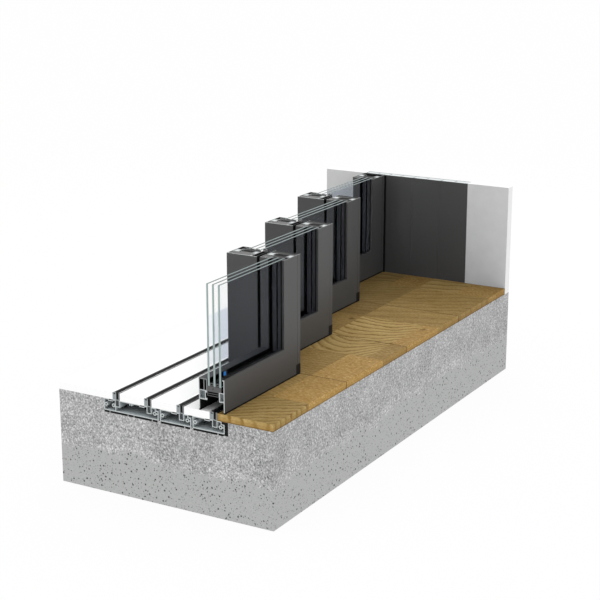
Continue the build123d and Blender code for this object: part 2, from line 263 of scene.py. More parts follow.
def linear(red, green, blue):
    """Linear colour of an sRGB colour given in 0 to 255."""
    def one(value):
        value /= 255
        return value / 12.92 if value <= 0.04045 else ((value + 0.055) / 1.055) ** 2.4
    return (one(red), one(green), one(blue), 1)


def toned(colour, factor):
    """The colour made darker or lighter by a factor."""
    return tuple(value * factor for value in colour[:3]) + (1,)


def add(tree, kind, inputs=None, **settings):
    """A new node with its settings, and its inputs set to values or linked to sockets."""
    made = tree.nodes.new(kind)
    for name, value in settings.items():
        setattr(made, name, value)
    for name, value in (inputs or {}).items():
        if isinstance(value, bpy.types.NodeSocket):
            tree.links.new(value, made.inputs[name])
        else:
            made.inputs[name].default_value = value
    return made


def material(name):
    """A new material, with its node tree and its shader."""
    made = bpy.data.materials.new(name)
    made.use_nodes = True
    tree = made.node_tree
    return made, tree, tree.nodes["Principled BSDF"]


def place(tree):
    """Socket of the point's place in the part's frame."""
    return add(tree, "ShaderNodeTexCoord").outputs["Object"]


def parts(tree, vector):
    """The three numbers of a vector."""
    split = add(tree, "ShaderNodeSeparateXYZ", {"Vector": vector})
    return tuple(split.outputs[axis] for axis in "XYZ")


def stretched(tree, vector, scale):
    """The vector with each axis scaled by itself."""
    return add(tree, "ShaderNodeMapping", {"Vector": vector, "Scale": scale}).outputs["Vector"]


def noise(tree, vector, scale, detail=2.0, roughness=0.5):
    """Noise factor at features of about 1 / scale metres."""
    inputs = {"Vector": vector, "Scale": scale, "Detail": detail, "Roughness": roughness}
    return add(tree, "ShaderNodeTexNoise", inputs).outputs["Fac"]


def math_node(tree, operation, first, second=0.0):
    """Result of one sum on two sockets or numbers."""
    return add(tree, "ShaderNodeMath", {0: first, 1: second}, operation=operation).outputs["Value"]


def vector_node(tree, operation, first, second):
    """Node of one sum on two vectors."""
    return add(tree, "ShaderNodeVectorMath", {0: first, 1: second}, operation=operation)


def any_of(tree, *values):
    """The largest of several sockets."""
    largest = values[0]
    for value in values[1:]:
        largest = math_node(tree, "MAXIMUM", largest, value)
    return largest


def all_of(tree, *values):
    """Product of several sockets."""
    product = values[0]
    for value in values[1:]:
        product = math_node(tree, "MULTIPLY", product, value)
    return product


def inside_of(tree, value, low, high):
    """1 where a value lies between two bounds, else 0."""
    above = math_node(tree, "GREATER_THAN", value, low)
    return all_of(tree, above, math_node(tree, "LESS_THAN", value, high))


def remap(tree, value, low, high, to_low=0.0, to_high=1.0, smooth=False):
    """Value moved from one range to another, and held inside it."""
    kind = "SMOOTHSTEP" if smooth else "LINEAR"
    inputs = {"Value": value, "From Min": low, "From Max": high, "To Min": to_low, "To Max": to_high}
    made = add(tree, "ShaderNodeMapRange", inputs, interpolation_type=kind, clamp=True)
    return made.outputs["Result"]


def spread(tree, grain, to_low=0.0, to_high=1.0):
    """Noise moved from the span that it mostly fills to a range of values."""
    return remap(tree, grain, *noise_span, to_low, to_high)


def mix(tree, factor, first, second):
    """Colour mixed from two sockets or colours."""
    made = tree.nodes.new("ShaderNodeMix")
    made.data_type = "RGBA"
    colour_a, colour_b, colour_out = 6, 7, 2
    for index, value in ((0, factor), (colour_a, first), (colour_b, second)):
        socket = made.inputs[index]
        if isinstance(value, bpy.types.NodeSocket):
            tree.links.new(value, socket)
        else:
            socket.default_value = value
    return made.outputs[colour_out]


def ramp(tree, factor, stops):
    """Colour ramp over (position, colour) stops."""
    made = add(tree, "ShaderNodeValToRGB", {"Fac": factor})
    elements = made.color_ramp.elements
    while len(elements) < len(stops):
        elements.new(1.0)
    for element, (position, colour) in zip(elements, stops):
        element.position = position
        element.color = colour
    return made.outputs["Color"]


def between(tree, grain, first, second):
    """Colour that noise takes between two colours."""
    return ramp(tree, grain, tuple(zip(noise_span, (first, second))))


def bump(tree, height, strength, depth):
    """Normal socket of a relief."""
    inputs = {"Height": height, "Strength": strength, "Distance": depth}
    return add(tree, "ShaderNodeBump", inputs).outputs["Normal"]


def link(tree, shader, **sockets):
    """Links sockets to the shader's inputs, with underscores for blanks."""
    for name, socket in sockets.items():
        tree.links.new(socket, shader.inputs[name.replace("_", " ")])


def plain(shader, **values):
    """Sets the shader's inputs to plain values, with underscores for blanks."""
    for name, value in values.items():
        shader.inputs[name.replace("_", " ")].default_value = value


def mix_shaders(tree, share, first, second):
    """Shader mixed from two."""
    return add(tree, "ShaderNodeMixShader", {0: share, 1: first, 2: second}).outputs["Shader"]


def show(tree, shader):
    """Makes a shader the material's surface."""
    tree.links.new(shader, tree.nodes["Material Output"].inputs["Surface"])


def falling_light(tree):
    """1 for rays that look for the light that falls on a surface, else 0."""
    path = add(tree, "ShaderNodeLightPath")
    return any_of(tree, path.outputs["Is Shadow Ray"], path.outputs["Is Diffuse Ray"])


def broken_layer(tree, where, level):
    """Colour and relief of the rough concrete, paler along its lower edge."""
    fringe = remap(tree, level, cast_height + fringe_start, cast_height + fringe_end, fringe_lift, 0.0)
    coarse = noise(tree, where, 175, 2, 0.6)
    fine = noise(tree, where, 360, 2, 0.7)
    clouds = spread(tree, noise(tree, where, 11, 3, 0.55), -cloud_depth, cloud_depth)
    speckle = math_node(tree, "MULTIPLY", math_node(tree, "ADD", coarse, fine), 0.5)
    shade = math_node(tree, "ADD", speckle, math_node(tree, "ADD", clouds, fringe))
    colour = ramp(tree, shade, (
        (0.34, linear(92, 92, 93)),
        (0.43, linear(146, 146, 147)),
        (0.53, linear(178, 178, 178)),
        (0.68, linear(236, 236, 236)),
    ))
    return colour, speckle


def cast_layer(tree, where):
    """Colour and pores of the smooth concrete."""
    grit = noise(tree, where, 300, 2, 0.6)
    colour = between(tree, grit, linear(168, 170, 169), linear(183, 184, 183))
    pores = []
    for scale, size, empty in pore_kinds:
        cells = add(tree, "ShaderNodeTexVoronoi", {"Vector": where, "Scale": scale})
        chosen = math_node(tree, "GREATER_THAN", cells.outputs["Color"], empty)
        spot = remap(tree, cells.outputs["Distance"], size * pore_core, size, 1.0, 0.0)
        pores.append(all_of(tree, spot, chosen))
    pore = any_of(tree, *pores)
    colour = mix(tree, math_node(tree, "MULTIPLY", pore, pore_depth), colour, linear(58, 60, 60))
    return colour, pore


def pad_painted_shade(tree, where, colour):
    """The colour with a dark line of painted shade on the section, in the joint under each sill pad."""
    across, along, height = parts(tree, where)
    at_section = math_node(tree, "LESS_THAN", along, near_cut + touch)
    for low, high in solid_boxes("sill_pads"):
        beside = inside_of(tree, across, low.x, high.x)
        below = inside_of(tree, height, low.z - pad_shadow, low.z + touch)
        # Painted shade: a near-black line in the joint under the pad
        colour = mix(tree, all_of(tree, beside, at_section, below), colour, linear(18, 18, 18))
    return colour


def concrete():
    """Broken, speckled concrete over a smooth cast layer with small dark pores."""
    made, tree, shader = material("concrete")
    where = place(tree)
    height = parts(tree, where)[2]
    waves = remap(tree, noise(tree, where, 8, 2, 0.5), 0.25, 0.75, -cast_wave / 2, cast_wave / 2)
    ragged = remap(tree, noise(tree, where, 55, 3, 0.6), 0.25, 0.75, -cast_ragged / 2, cast_ragged / 2)
    level = math_node(tree, "ADD", height, math_node(tree, "ADD", waves, ragged))
    rough_part = remap(tree, level, cast_height, cast_height + cast_blend, smooth=True)
    rough_colour, speckle = broken_layer(tree, where, level)
    cast_colour, pores = cast_layer(tree, where)
    colour = mix(tree, rough_part, cast_colour, rough_colour)
    link(tree, shader, Base_Color=pad_painted_shade(tree, where, colour))
    sunk = math_node(tree, "MULTIPLY", pores, -1.0)
    relief = add(tree, "ShaderNodeMix", {"Factor": rough_part, "A": sunk, "B": speckle}).outputs["Result"]
    link(tree, shader, Normal=bump(tree, relief, 0.30, 0.003))
    plain(shader, Roughness=0.9, Specular_IOR_Level=0.25)
    return made


def white_finish():
    """White screed with a barely visible fine grain."""
    made, tree, shader = material("white_finish")
    grain = noise(tree, place(tree), 420, 3, 0.6)
    colour = between(tree, grain, linear(252, 252, 252), linear(255, 255, 255))
    link(tree, shader, Base_Color=colour, Normal=bump(tree, grain, 0.12, 0.0006))
    plain(shader, Roughness=0.8)
    return made


def white_plaster(name, low, high):
    """Matt wall with the slight mottling of rolled paint, between two greys."""
    made, tree, shader = material(name)
    where = place(tree)
    clouds = noise(tree, where, 24, 4, 0.6)
    grain = noise(tree, where, 700, 3, 0.65)
    colour = between(tree, clouds, linear(low, low, low), linear(high, high, high))
    link(tree, shader, Base_Color=colour, Normal=bump(tree, grain, 0.18, 0.0008))
    plain(shader, Roughness=0.85)
    return made


def stave_vector(tree, name):
    """Vector that each stave carries under a name."""
    return add(tree, "ShaderNodeAttribute", attribute_name=name).outputs["Vector"]


def grain_lines(tree, where, jitter):
    """Distance along a stave, and distance across its grain lines, which follow its slant and bend."""
    slant, bend, turn_at = parts(tree, stave_vector(tree, "stave_lean"))
    local = vector_node(tree, "SUBTRACT", where, stave_vector(tree, "stave_origin")).outputs["Vector"]
    along, across, _ = parts(tree, local)
    sway = remap(tree, noise(tree, where, 9, 2, 0.5), 0.2, 0.8, -0.016, 0.016)
    leaned = math_node(tree, "MULTIPLY", along, slant)
    off_turn = math_node(tree, "SUBTRACT", along, turn_at)
    bent = all_of(tree, off_turn, off_turn, bend)
    line = math_node(tree, "SUBTRACT", math_node(tree, "SUBTRACT", across, leaned), bent)
    return along, math_node(tree, "ADD", line, math_node(tree, "ADD", sway, jitter))


def oak_face(tree, where, figure, spacing):
    """Colour and fibres of a stave: grain lines, glints, flecks, blotches and knots."""
    jitter = remap(tree, noise(tree, where, 95, 2, 0.6), 0.2, 0.8, -0.004, 0.004)
    along, line = grain_lines(tree, where, jitter)
    phase = math_node(tree, "MULTIPLY", math_node(tree, "DIVIDE", line, spacing), 2 * math.pi)

    def wave(shift, sharpness):
        sine = math_node(tree, "SINE", math_node(tree, "ADD", phase, shift))
        return math_node(tree, "POWER", remap(tree, sine, -1.0, 1.0), sharpness)

    patches = remap(tree, noise(tree, where, 30, 2, 0.5), 0.3, 0.65, 0.5, 1.0)
    strength = all_of(tree, patches, remap(tree, figure, 0.05, 0.9))
    depth = parts(tree, where)[2]
    strand = add(tree, "ShaderNodeCombineXYZ", {"X": along, "Y": line, "Z": depth}).outputs["Vector"]
    fibre = noise(tree, stretched(tree, strand, (14, 240, 240)), 1.0, 3, 0.65)
    speckle = noise(tree, stretched(tree, where, (110, 200, 200)), 1.0, 2, 0.6)
    blotches = noise(tree, where, 9, 3, 0.6)

    honey = remap(tree, figure, 0.20, 0.60, 1.0, 0.0)
    pale = mix(tree, honey, oak_tones["straw"], oak_tones["honey"])
    dark = mix(tree, honey, oak_tones["straw_line"], oak_tones["honey_line"])
    colour = mix(tree, all_of(tree, wave(0.0, 3.0), strength), pale, dark)
    glint = math_node(tree, "MULTIPLY", all_of(tree, wave(1.8, 5.0), strength), 0.45)
    colour = mix(tree, glint, colour, oak_tones["fleck"])
    colour = mix(tree, spread(tree, fibre, 0.42, 0.0), colour, dark)
    light_fleck = all_of(tree, remap(tree, speckle, 0.54, 0.70), remap(tree, figure, 0.1, 0.6, 0.75, 0.20))
    colour = mix(tree, light_fleck, colour, oak_tones["fleck"])
    dark_fleck = all_of(tree, remap(tree, speckle, 0.46, 0.30), remap(tree, figure, 0.1, 0.6, 0.75, 0.25))
    colour = mix(tree, dark_fleck, colour, dark)
    colour = mix(tree, remap(tree, blotches, 0.38, 0.7, 0.0, 0.22), colour, dark)
    flat = vector_node(tree, "MULTIPLY", where, (1, 1, 0)).outputs["Vector"]
    for knot_x, knot_y, radius in oak_knots:
        away = vector_node(tree, "DISTANCE", flat, (knot_x, knot_y, 0)).outputs["Value"]
        ragged = math_node(tree, "ADD", away, math_node(tree, "MULTIPLY", jitter, 1.5))
        colour = mix(tree, remap(tree, ragged, radius * 0.3, radius, 0.75, 0.0), colour, oak_tones["pore"])
    return colour, fibre


def oak_sides(tree, where, colour):
    """The colour with a darker core under the wear layer and a dark line at the foot."""
    height = parts(tree, where)[2]
    worn = math_node(tree, "SUBTRACT", height, floor_high.z - wear_layer)
    core = remap(tree, worn, -0.001, 0.0, 0.45, 0.0)
    colour = mix(tree, core, colour, oak_tones["core"])
    footing = remap(tree, math_node(tree, "SUBTRACT", height, floor_low.z), 0.002, 0.004, 0.6, 0.0)
    return mix(tree, footing, colour, oak_tones["pore"])


def oak():
    """Oiled oak with a shade for each stave, partly painted shade, and painted light that makes the sides
    paler that look to the section and indoors.
    """
    made, tree, shader = material("oak")
    where = place(tree)
    # shade: each stave's own tone, with painted shade on the staves towards the jamb and next to the sashes
    shade, figure, spacing = parts(tree, stave_vector(tree, "stave_kind"))
    colour, fibre = oak_face(tree, where, figure, spacing)
    colour = oak_sides(tree, where, colour)
    indoors, along_tracks, _ = parts(tree, add(tree, "ShaderNodeNewGeometry").outputs["Normal"])
    # Painted light: the sides that look to the section and indoors are made paler than the top
    section_side = remap(tree, along_tracks, -straight, -mostly, section_side_painted_light, 1.0)
    indoor_side = remap(tree, indoors, mostly, straight, 1.0, indoor_side_painted_light)
    level = all_of(tree, shade, section_side, indoor_side)
    scaled = add(tree, "ShaderNodeVectorMath", {0: colour, "Scale": level}, operation="SCALE")
    link(tree, shader, Base_Color=scaled.outputs["Vector"])
    link(tree, shader, Normal=bump(tree, fibre, 0.10, 0.0008))
    link(tree, shader, Roughness=spread(tree, fibre, 0.68, 0.58))
    plain(shader, Specular_IOR_Level=0.05)
    return made


def coating(name, colour, roughness, shine):
    """Matt powder coating with a fine leathery grain."""
    made, tree, shader = material(name)
    where = place(tree)
    grain = noise(tree, where, 1900, 2, 0.6)
    clouds = noise(tree, where, 6, 2, 0.5)
    link(tree, shader, Base_Color=mix(tree, clouds, toned(colour, 0.94), colour))
    link(tree, shader, Roughness=spread(tree, grain, roughness - 0.05, roughness + 0.05))
    link(tree, shader, Normal=bump(tree, grain, 0.10, 0.0003))
    plain(shader, Specular_IOR_Level=shine)
    return made


def bare_aluminium(name, colour, roughness, metallic, streak, contrast=0.82):
    """Aluminium with fine lines, from the saw on a cut face or from the die inside a chamber."""
    made, tree, shader = material(name)
    lines = noise(tree, stretched(tree, place(tree), streak), 1.0, 3, 0.6)
    link(tree, shader, Base_Color=mix(tree, spread(tree, lines), toned(colour, contrast), colour))
    link(tree, shader, Roughness=spread(tree, lines, roughness - 0.06, roughness + 0.06))
    plain(shader, Metallic=metallic)
    return made


def rail_section():
    """Cut end of a rail: grey above the sill, with painted shade making it dark where its stem sits in the
    clip channel.
    """
    made, tree, shader = material("rail_section")
    height = parts(tree, place(tree))[2]
    # Painted shade: the cut face is dark below the plinth's top, where the stem sits in the channel
    channel_painted_shade = math_node(tree, "LESS_THAN", height, plinth_high.z)
    link(tree, shader, Base_Color=mix(tree, channel_painted_shade, linear(168, 174, 175), linear(44, 48, 50)))
    plain(shader, Roughness=0.6)
    return made


def rail_head():
    """Upper faces of the rails: bare and bright at the outer edges, with the dark coating between."""
    made, tree, shader = material("rail_head")
    across = parts(tree, place(tree))[0]
    edges = []
    for low, high in solid_boxes("running_rails"):
        edges.append(inside_of(tree, across, low.x - touch, low.x + bright_head))
        edges.append(inside_of(tree, across, high.x - bright_lip, high.x + touch))
    bright = any_of(tree, *edges)
    link(tree, shader, Base_Color=mix(tree, bright, linear(36, 36, 37), linear(252, 253, 253)))
    link(tree, shader, Metallic=bright, Roughness=remap(tree, bright, 0.0, 1.0, 0.6, 0.3))
    plain(shader, Specular_IOR_Level=0.1)
    return made


def black_plastic(name, colour, roughness):
    """Dark moulded plastic or rubber with a faint extruded grain."""
    made, tree, shader = material(name)
    grain = noise(tree, stretched(tree, place(tree), (900, 120, 900)), 1.0, 2, 0.6)
    link(tree, shader, Base_Color=mix(tree, remap(tree, grain, 0.35, 0.75), colour, toned(colour, 1.5)))
    link(tree, shader, Roughness=spread(tree, grain, roughness - 0.06, roughness + 0.06))
    plain(shader, Specular_IOR_Level=0.12)
    return made


def clear_glass():
    """Faintly blue low-reflection pane, clearer to the light that falls through it."""
    made, tree, shader = material("clear_glass")
    plain(shader, Base_Color=(0.840, 0.862, 0.895, 1), Roughness=0.0, IOR=1.02, Transmission_Weight=1.0)
    open_way = add(tree, "ShaderNodeBsdfTransparent", {"Color": (0.960, 0.965, 0.970, 1)})
    show(tree, mix_shaders(tree, falling_light(tree), shader.outputs["BSDF"], open_way.outputs["BSDF"]))
    return made


def glass_edge(name, low, high):
    """Ground edge of a pane: grey-green, slightly streaked between two tones."""
    made, tree, shader = material(name)
    streaks = noise(tree, stretched(tree, place(tree), (900, 40, 40)), 1.0, 2, 0.5)
    link(tree, shader, Base_Color=between(tree, streaks, low, high))
    plain(shader, Roughness=0.5, Specular_IOR_Level=0.2)
    return made


def blue_plastic():
    """Blue moulded packer with a black foot, tip and far end."""
    made, tree, shader = material("blue_plastic")
    where = place(tree)
    grain = noise(tree, where, 900, 2, 0.6)
    colour = between(tree, grain, linear(2, 88, 164), linear(12, 122, 208))
    low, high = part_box("sash_1_glazing_packer")
    _, along, height = parts(tree, where)
    share = remap(tree, height, low.z, high.z)
    foot = math_node(tree, "LESS_THAN", share, packer_foot)
    tip = math_node(tree, "GREATER_THAN", share, packer_tip)
    end = math_node(tree, "GREATER_THAN", remap(tree, along, low.y, high.y), packer_end)
    link(tree, shader, Base_Color=mix(tree, any_of(tree, foot, tip, end), colour, linear(16, 16, 18)))
    plain(shader, Roughness=0.45, Specular_IOR_Level=0.15)
    return made


oak_tones = {
    "straw": linear(184, 157, 101),
    "honey": linear(178, 145, 87),
    "straw_line": linear(118, 89, 38),
    "honey_line": linear(134, 98, 44),
    "fleck": linear(212, 186, 132),
    "core": linear(146, 114, 60),
    "pore": linear(96, 70, 34),
}

concrete_finish = concrete()
screed = white_finish()
plaster = white_plaster("white_plaster", 208, 214)
plaster_cut = white_plaster("plaster_cut", 234, 238)
oak_finish = oak()
dark_coating = coating("dark_coating", linear(74, 74, 74), 0.42, 0.35)
edge_coating = coating("edge_coating", linear(73, 73, 74), 0.6, 0.1)
rail_coating = coating("rail_coating", linear(30, 30, 31), 0.8, 0.0)
saw_cut = bare_aluminium("saw_cut", linear(200, 206, 206), 0.5, 0.1, (700, 60, 700))
chamber = bare_aluminium("chamber", linear(202, 213, 216), 0.7, 0.0, (120, 3, 120), 0.94)
bead_cut = bare_aluminium("bead_cut", linear(138, 141, 141), 0.5, 0.1, (700, 60, 700))
bright_chamber = bare_aluminium("bright_chamber", linear(206, 212, 213), 0.6, 0.1, (60, 60, 4))
cell_grey = bare_aluminium("cell_grey", linear(100, 100, 99), 0.7, 0.1, (400, 400, 60))
lip_cut = bare_aluminium("lip_cut", linear(126, 127, 128), 0.6, 0.1, (700, 60, 700))
leg_grey = bare_aluminium("leg_grey", linear(150, 157, 159), 0.6, 0.1, (700, 60, 700))
slate = bare_aluminium("slate", linear(128, 139, 142), 0.6, 0.1, (90, 60, 30), 0.7)
channel_grey = bare_aluminium("channel_grey", linear(62, 62, 62), 0.8, 0.0, (260, 260, 60), 0.2)
top_edge = bare_aluminium("top_edge", linear(108, 110, 110), 0.5, 0.2, (300, 300, 300))
plastic = black_plastic("black_plastic", linear(24, 24, 25), 0.55)
plastic_cut = black_plastic("plastic_cut", linear(86, 86, 86), 0.6)
plastic_top = black_plastic("plastic_top", linear(58, 58, 58), 0.7)
# Painted light: the gaskets' upper faces are a paler copy of the black rubber
gasket_top_painted_light = black_plastic("gasket_top_painted_light", linear(40, 41, 43), 0.7)
rubber = black_plastic("black_rubber", linear(15, 15, 16), 0.6)
spacer_grey = black_plastic("spacer_grey", linear(64, 64, 67), 0.6)
roller_steel = bare_aluminium("roller_steel", linear(150, 152, 155), 0.35, 0.9, (90, 90, 90))
glass = clear_glass()
pane_end = glass_edge("pane_end", linear(138, 154, 152), linear(162, 178, 176))
pane_top = glass_edge("pane_top", linear(92, 106, 106), linear(114, 129, 128))
packer_blue = blue_plastic()
rail_cut = rail_section()
rail_top = rail_head()
# Painted shade: dark strips that stand in for the shadow in the gaps between the floor fields
joint_painted_shade = black_plastic("joint_painted_shade", linear(46, 38, 26), 0.8)


def dress(name, finishes, choose=None):
    """Gives a node its finishes. choose returns the one that a face takes, by its middle and normal."""
    mesh = nodes[name].data
    mesh.materials.clear()
    for finish in finishes:
        mesh.materials.append(finish)
    for face in mesh.polygons:
        face.material_index = finishes.index(choose(face.center, face.normal)) if choose else 0


def cut_here(middle, normal):
    """True on the section face and on the level cut at the top."""
    at_section = middle.y < near_cut + touch and normal.y < -straight
    at_top = middle.z > top_cut - touch and normal.z > straight
    return at_section or at_top


def profile_choice(number, reach):
    """Chooses a sash face's finish: coated outside, bare where it is cut or inside, dark in the channel."""
    face_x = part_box(f"sash_{number}_stiles")[0].x
    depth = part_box(f"sash_{number}_stiles")[1].x - face_x

    def choose(middle, normal):
        across = middle.x - face_x
        up = reach(middle)
        if cut_here(middle, normal):
            if normal.z > straight:
                return top_edge
            return bead_cut if up > chamber_reach and across < outer_half else saw_cut
        if up > inner_reach - touch or up > outer_reach - touch and normal.z > straight:
            return edge_coating
        if across < touch or across > depth - touch or up > outer_reach - touch or up < touch:
            return dark_coating
        in_cell = across < chamber_half - touch or across > depth - inner_half + touch
        if in_cell and channel_reach - touch < up < chamber_reach - leaf_wall + touch:
            return bright_chamber
        return plastic
    return choose


def seal_choice(number):
    """Chooses a glazing seal's finish: grey spacers between panes, black gaskets, with painted light making
    their tops paler indoors.
    """
    pane_low, pane_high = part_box(f"sash_{number}_glass")

    def choose(middle, normal):
        if pane_low.x < middle.x < pane_high.x:
            if cut_here(middle, normal) and normal.y < -straight:
                return plastic_cut
            return spacer_grey if normal.z < straight else rubber
        return gasket_top_painted_light if middle.x > pane_high.x and normal.z > straight else rubber
    return choose


def pane_choice(middle, normal):
    """Chooses a pane's finish: clear on its faces, ground on its edges."""
    if abs(normal.x) > mostly:
        return glass
    return pane_top if normal.z > mostly else pane_end


def dress_sash(number):
    """Finishes of one sash."""
    sash = f"sash_{number}"
    stile_low, stile_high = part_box(f"{sash}_stiles")
    rail_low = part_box(f"{sash}_bottom_rail")[0]
    middle_y = (stile_low.y + stile_high.y) / 2
    near_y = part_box(f"{sash}_interlock_cover")[0].y if number > 1 else stile_low.y
    shells = (dark_coating, saw_cut, bright_chamber, plastic, bead_cut, top_edge, edge_coating)

    def in_far_stile(middle):
        return number == 1 or middle.y > middle_y

    def rail_reach(middle):
        return middle.z - rail_low.z

    def stile_reach(middle):
        return stile_high.y - middle.y if in_far_stile(middle) else middle.y - near_y

    def cover_choice(middle, normal):
        return saw_cut if cut_here(middle, normal) else dark_coating

    def bar_choice(middle, normal):
        if not cut_here(middle, normal):
            return plastic
        if normal.y < -straight:
            return plastic_cut
        return plastic_top if in_far_stile(middle) else plastic

    dress(f"{sash}_bottom_rail", shells, profile_choice(number, rail_reach))
    dress(f"{sash}_stiles", shells, profile_choice(number, stile_reach))
    dress(f"{sash}_insulating_bars", (plastic, plastic_cut, plastic_top), bar_choice)
    dress(f"{sash}_glass", (glass, pane_end, pane_top), pane_choice)
    dress(f"{sash}_glazing_seals", (rubber, spacer_grey, plastic_cut, gasket_top_painted_light), seal_choice(number))
    dress(f"{sash}_end_trim", (plastic,))
    dress(f"{sash}_rollers", (roller_steel,))
    if number > 1:
        dress(f"{sash}_interlock_cover", (dark_coating, saw_cut), cover_choice)
        dress(f"{sash}_interlock_insert", (rubber,))


def sill_choice(middle, normal):
    """Chooses a sill profile's finish: sawn at the section, plain elsewhere."""
    return saw_cut if cut_here(middle, normal) else chamber


def jamb_choice(middle, normal):
    """Chooses a jamb profile's finish: sawn on top, coated outside, bright in its cells."""
    if cut_here(middle, normal):
        return saw_cut
    outside = middle.y < jamb_low.y + touch or middle.y > jamb_high.y - touch
    return dark_coating if outside or abs(normal.x) > mostly else bright_chamber


def rail_choice():
    """Chooses a rail face's finish: cut, running face, plain inside its leg and in the sill, else coated."""
    rails = solid_boxes("running_rails")

    def choose(middle, normal):
        if cut_here(middle, normal):
            in_lip = any(high.x - rail_lip < middle.x < high.x for _, high in rails)
            return lip_cut if in_lip and middle.z > plinth_high.z + rail_wall else rail_cut
        if middle.z > floor_high.z - rail_wall and normal.z > mostly:
            return rail_top
        in_leg = any(low.x + touch < middle.x < low.x + rail_leg - touch for low, _ in rails)
        inside = in_leg and middle.z < floor_high.z + touch and abs(normal.y) < mostly
        return chamber if inside or middle.z < plinth_high.z - touch else rail_coating
    return choose


def wall_choice(middle, normal):
    """Chooses a wall's finish: painted on its two faces, paler on its cut edges."""
    return plaster if abs(normal.y) > mostly else plaster_cut


def dress_fixed():
    """Finishes of the plinth, sill, rails, jamb and wall."""
    dress("concrete_slab", (concrete_finish,))
    dress("terrace_slab", (screed,))
    dress("threshold_infill", (screed,))
    dress("wall_returns", (plaster, plaster_cut), wall_choice)
    for profile in ("sill_base", "sill_extensions"):
        dress(profile, (chamber, saw_cut), sill_choice)
    dress("running_rails", (rail_coating, rail_cut, chamber, rail_top, lip_cut), rail_choice())
    for seal in ("rail_strips", "sill_pads", "sill_end_seal", "jamb_seal"):
        dress(seal, (rubber,))
    for profile in ("jamb_base", "jamb_extensions"):
        dress(profile, (dark_coating, saw_cut, bright_chamber), jamb_choice)
    dress("sash_1_glazing_packer", (packer_blue,))


def add_box(mesh, low, high):
    """Adds a box to a mesh in hand and returns its vertices."""
    made = bmesh.ops.create_cube(mesh, size=1.0)["verts"]
    for vert in made:
        for axis in range(3):
            vert.co[axis] = high[axis] if vert.co[axis] > 0 else low[axis]
    return made


def edges_of(verts):
    """Every edge that meets one of the vertices."""
    return {edge for vert in verts for edge in vert.link_edges}


def new_piece(name, mesh, finish, body):
    """An object of a mesh in hand, riding on a body."""
    data = bpy.data.meshes.new(name)
    mesh.to_mesh(data)
    mesh.free()
    data.materials.append(finish)
    piece = bpy.data.objects.new(name, data)
    bpy.context.scene.collection.objects.link(piece)
    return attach(piece, body)


def sash_body(number):
    """Body that a sash rides on: the first one is fixed."""
    return "frame" if number == 1 else f"sash_{number}"


def stave_boxes():
    """Every stave as its corners, its kind (shade, figure, spacing) and its lean (slant, bend, turn)."""
    staves = []
    fields = solid_boxes("oak_floor")
    for (low, high), strips in zip(fields, oak_fields):
        start = low.y if low.y < near_cut + touch else low.y + field_inset
        last = high.y if high.y > jamb_low.y - touch else high.y - field_inset
        for share, cuts in strips:
            end = min(start + share * (high.y - low.y), last)
            right = high.x
            for distance, shade, figure, spacing, slant, bend, turn_at in cuts:
                left = max(high.x - distance, low.x)
                if right - left > touch:
                    corners = (Vector((left, start, low.z)), Vector((right, end, high.z)))
                    staves.append((corners, (shade, figure, spacing), (slant, bend, turn_at)))
                right = left
            start = end
    return staves


def floor_staves():
    """Oak staves in place of the plain floor fields, each with eased edges and its own grain."""
    mesh = bmesh.new()
    kinds = mesh.verts.layers.float_vector.new("stave_kind")
    origins = mesh.verts.layers.float_vector.new("stave_origin")
    leans = mesh.verts.layers.float_vector.new("stave_lean")
    inset = Vector((stave_seam, stave_seam, 0))
    for (low, high), kind, lean in stave_boxes():
        verts = add_box(mesh, low + inset, high - inset)
        top = [edge for edge in edges_of(verts) if all(vert.co.z > high.z - touch for vert in edge.verts)]
        eased = bmesh.ops.bevel(mesh, geom=top, offset=stave_edge, segments=2, affect="EDGES", profile=0.5)
        origin = Vector((low.x, low.y, 0))
        for vert in set(verts) | set(eased["verts"]):
            if vert.is_valid:
                vert[kinds] = kind
                vert[origins] = origin
                vert[leans] = lean
    piece = new_piece("oak_staves", mesh, oak_finish, "frame")
    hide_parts("oak_floor")


def field_joints():
    """Dark strips of painted shade in the joints between the floor fields."""
    fields = solid_boxes("oak_floor")
    right, top = floor_high.x - joint_drop, floor_high.z - joint_drop
    mesh = bmesh.new()
    for (first_low, first_high), (next_low, _) in zip(fields, fields[1:]):
        left = max(first_low.x, next_low.x)
        near = first_high.y - field_inset
        far = next_low.y + field_inset
        add_box(mesh, (left, near, floor_low.z + touch), (right, far, top))
    new_piece("field_joints", mesh, joint_painted_shade, "frame")


def brush_seals(number):
    """Black pile strips under the two leaves of a sash, down to just above the floor."""
    sash = f"sash_{number}"
    low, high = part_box(f"{sash}_bottom_rail")
    bottom = floor_high.z + brush_clearance
    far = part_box(f"{sash}_end_trim")[1].y
    mesh = bmesh.new()
    for left in (low.x, high.x - brush_width):
        add_box(mesh, (left, low.y + touch, bottom), (left + brush_width, far - touch, low.z))
    new_piece(f"{sash}_brush_seals", mesh, rubber, sash_body(number))


def corner_face(number):
    """Thin black face of the corner piece, over the end of the inner leaf."""
    sash = f"sash_{number}"
    low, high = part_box(f"{sash}_end_trim")
    rail_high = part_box(f"{sash}_bottom_rail")[1]
    trim = [vert.co for vert in nodes[f"{sash}_end_trim"].data.vertices]
    cap_top = max(point.z for point in trim if point.x > rail_high.x - touch)
    start = (high.x - touch, high.y - cap_face_width, low.z)
    mesh = bmesh.new()
    add_box(mesh, start, (high.x + cap_face_depth, high.y, cap_top))
    new_piece(f"{sash}_corner_face", mesh, plastic, sash_body(number))


